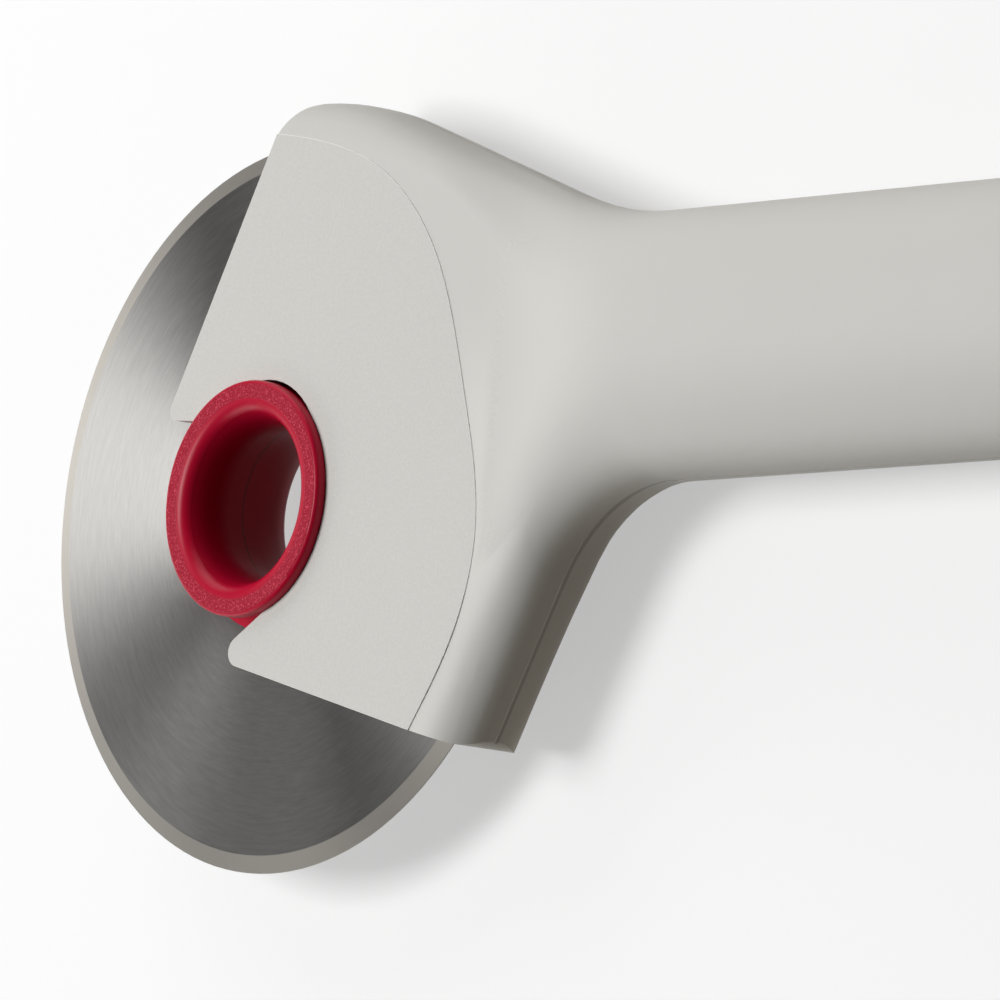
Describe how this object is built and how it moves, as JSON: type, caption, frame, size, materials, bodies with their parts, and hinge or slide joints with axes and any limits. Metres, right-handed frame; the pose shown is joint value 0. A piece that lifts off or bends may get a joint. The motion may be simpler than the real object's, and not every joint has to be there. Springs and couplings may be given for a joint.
{
  "type": "pizza cutter wheel",
  "caption": "Pizza cutter wheel with a two-shell handle and guard, a snap-in red hub with a finger hole, and a steel disc that turns on it.",
  "frame": {"origin": "centre of the wheel: on the finger hole's axis, in the plane where the two handle shells meet", "axes": "+X along the handle towards its free end, +Z along the wheel's axle, out of the near cheek, +Y across the handle towards the edge that is up when the cutter stands on its wheel"},
  "size_m": [0.2095, 0.0787, 0.019],
  "materials": {
    "shell": "matte",
    "hub": "satin",
    "blade": "circular brushed"
  },
  "bodies": {
    "handle": {"near_shell": "shell", "far_shell": "shell"},
    "hub": {"hub_near_half": "hub", "hub_far_half": "hub"},
    "blade": {"blade_disc": "blade"}
  },
  "joints": [
    {"name": "hub_release", "type": "slide", "parent": "handle", "child": "hub", "axis": [-0.8572, -0.515, 0], "range_m": [0, 0.05]},
    {"name": "blade_spin", "type": "hinge", "parent": "hub", "child": "blade", "pos_m": [0, 0, 0], "axis": [0, 0, 1], "continuous": true}
  ]
}
